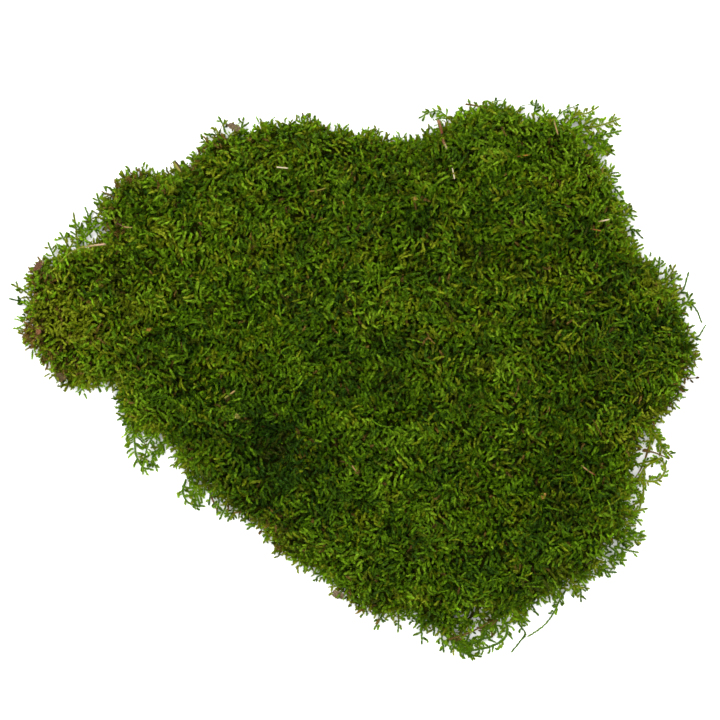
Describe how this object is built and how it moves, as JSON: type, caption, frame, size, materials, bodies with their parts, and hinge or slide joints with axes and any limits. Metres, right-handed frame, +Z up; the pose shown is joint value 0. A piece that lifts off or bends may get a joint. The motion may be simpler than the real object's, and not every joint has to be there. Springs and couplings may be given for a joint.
{
  "type": "moss clump",
  "caption": "Flat clump of feather moss lifted as one sheet, with a lobed outline, soft hummocks, loose fronds trailing round the rim and forest litter caught on top.",
  "frame": {"origin": "under the middle of the clump's box, on the surface it lies on", "axes": "+X along the clump, from its narrow lobe to its broad end; +Z up, out of the moss"},
  "size_m": [0.3506, 0.2823, 0.0242],
  "materials": {
    "moss": "matt, soft, dense short leafy shoots",
    "frond": "matt, leafy side branches on a thin stem",
    "needle": "dry, matt, tan to rust brown",
    "straw": "dry, slightly glossy, pale",
    "bark": "rough, matt, dark brown",
    "dry_leaf": "dry, matt, ochre"
  },
  "bodies": {
    "root": {"moss_mat": "moss", "frond_lower_left_1": "frond", "frond_lower_left_2": "frond", "frond_lower_left_3": "frond", "frond_lower_left_4": "frond", "frond_lower_left_5": "frond", "frond_bottom_1": "frond", "frond_bottom_2": "frond", "frond_bottom_3": "frond", "frond_bottom_4": "frond", "frond_top_1": "frond", "frond_top_2": "frond", "frond_top_3": "frond", "frond_upper_right_1": "frond", "frond_upper_right_2": "frond", "frond_upper_right_3": "frond", "frond_upper_right_4": "frond", "frond_right_1": "frond", "frond_right_2": "frond", "frond_right_3": "frond", "frond_right_4": "frond", "frond_right_5": "frond", "frond_right_6": "frond", "frond_right_7": "frond", "frond_right_8": "frond", "frond_right_9": "frond", "frond_right_10": "frond", "frond_right_11": "frond", "frond_upper_left_1": "frond", "frond_upper_left_2": "frond", "frond_left_1": "frond", "frond_left_2": "frond", "straw_1": "straw", "straw_2": "straw", "straw_3": "straw", "straw_4": "straw", "needle_1": "needle", "needle_2": "needle", "needle_3": "needle", "needle_4": "needle", "needle_5": "needle", "needle_6": "needle", "needle_7": "needle", "needle_8": "needle", "needle_9": "needle", "twig_1": "needle", "twig_2": "needle", "bark_flake_1": "bark", "bark_flake_2": "bark", "bark_flake_3": "bark", "bark_flake_4": "bark", "bark_flake_5": "bark", "bark_flake_6": "bark", "bark_flake_7": "bark", "bark_flake_8": "bark", "bark_flake_9": "bark", "dead_stem": "bark", "dry_leaf": "dry_leaf"}
  },
  "joints": []
}
